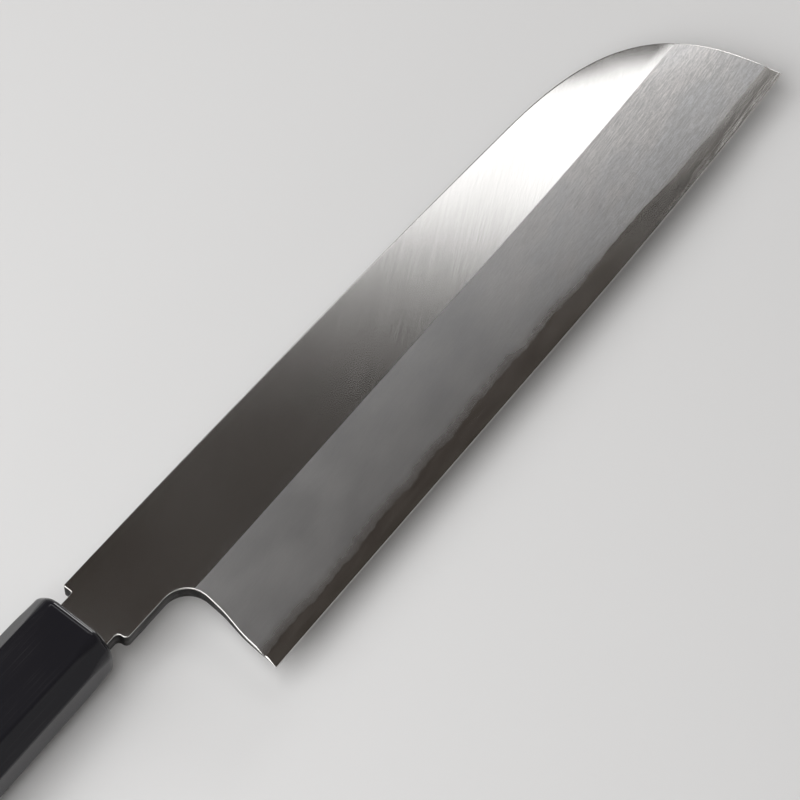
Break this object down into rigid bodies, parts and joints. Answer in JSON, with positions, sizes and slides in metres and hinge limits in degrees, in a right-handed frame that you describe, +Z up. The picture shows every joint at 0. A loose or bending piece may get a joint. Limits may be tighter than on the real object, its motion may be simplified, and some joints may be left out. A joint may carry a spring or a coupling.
{
  "type": "usuba knife",
  "caption": "Single-bevel vegetable knife: laminated blade with hollow-ground back and rounded sickle nose, octagonal black handle with horn ferrule; peels and slices vegetables.",
  "frame": {"origin": "middle of the knife's box, on the surface that the handle lies on", "axes": "+X along the handle axis to the tip, +Y to the spine, +Z up out of the bevelled face; the knife lies on its side"},
  "size_m": [0.332, 0.0484, 0.0194],
  "materials": {
    "soft_iron": "hazy stone finish on the bevel, fine diagonal grinding lines on the flat face",
    "hard_steel": "darker, finely polished band along the edge and hollow-ground back",
    "black_horn": "polished black horn",
    "black_wood": "polished, nearly black close-grained wood",
    "soft_wood": "plain, unfinished, hidden in the handle",
    "dark_resin": "set resin"
  },
  "bodies": {
    "root": {"blade_iron": "soft_iron", "edge_steel": "hard_steel", "ferrule": "black_horn", "handle_body": "black_wood", "tang_dowel": "soft_wood", "mouth_resin": "dark_resin"}
  },
  "joints": []
}
